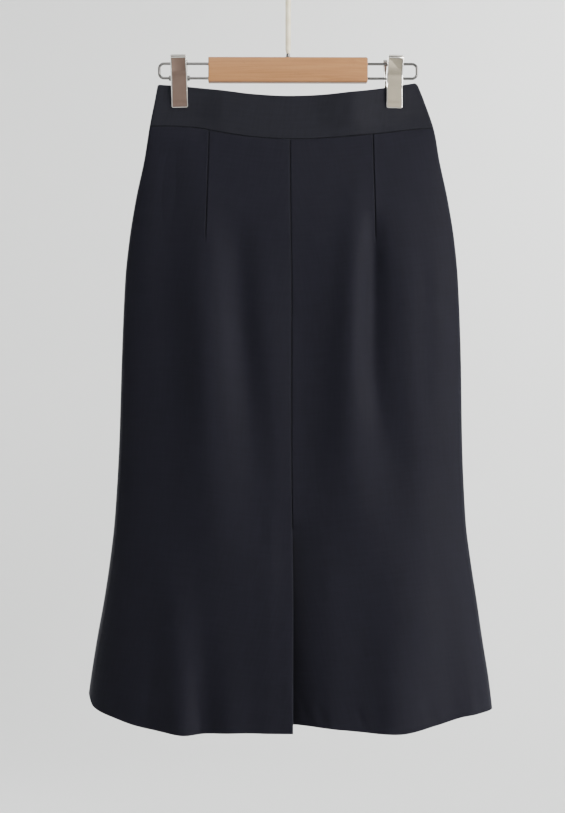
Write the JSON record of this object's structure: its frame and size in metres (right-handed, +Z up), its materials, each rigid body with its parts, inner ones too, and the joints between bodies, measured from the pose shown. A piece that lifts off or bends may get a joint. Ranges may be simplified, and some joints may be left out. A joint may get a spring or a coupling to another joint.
{
  "type": "mermaid fishtail skirt on a wooden clip hanger",
  "caption": "Long mermaid skirt with a flared fishtail hem, contour waistband, front darts and a lapped front vent, held by the clips of a wooden bar hanger with a swan-neck hook.",
  "frame": {"origin": "inside top of the hook, where it bears on a rail or peg", "axes": "+X to the viewer's right, -Y the skirt's front, +Z up"},
  "size_m": [0.5035, 0.145, 0.9739],
  "materials": {
    "suiting": "smooth black suiting with a soft sheen",
    "zip_tape": "black woven zip tape",
    "zip_metal": "black enamelled zinc",
    "beech": "pale satin beech",
    "nickel": "satin nickel plate",
    "hook_sleeve": "cream plastic"
  },
  "bodies": {
    "skirt_and_hanger": {"waistband_front": "suiting", "waistband_back_left": "suiting", "waistband_back_right": "suiting", "skirt_front_left": "suiting", "skirt_front_right": "suiting", "skirt_back_left": "suiting", "skirt_back_right": "suiting", "zip_tape_left": "zip_tape", "zip_tape_right": "zip_tape", "zip_coil": "zip_tape", "zip_slider": "zip_metal", "hanger_bar": "beech", "hanger_wire_left": "nickel", "hanger_wire_right": "nickel", "hook_neck": "nickel", "hook_sleeve": "hook_sleeve", "clip_left_front_jaw": "nickel", "clip_left_back_jaw": "nickel", "clip_left_barrel": "nickel", "clip_right_front_jaw": "nickel", "clip_right_back_jaw": "nickel", "clip_right_barrel": "nickel"},
    "pull_tab": {"zip_pull": "zip_metal"}
  },
  "joints": [
    {"name": "pull_swing", "type": "hinge", "parent": "skirt_and_hanger", "child": "pull_tab", "pos_m": [0.0012, 0.00999, -0.198], "axis": [1, 0, 0], "range_deg": [0, 150]}
  ]
}
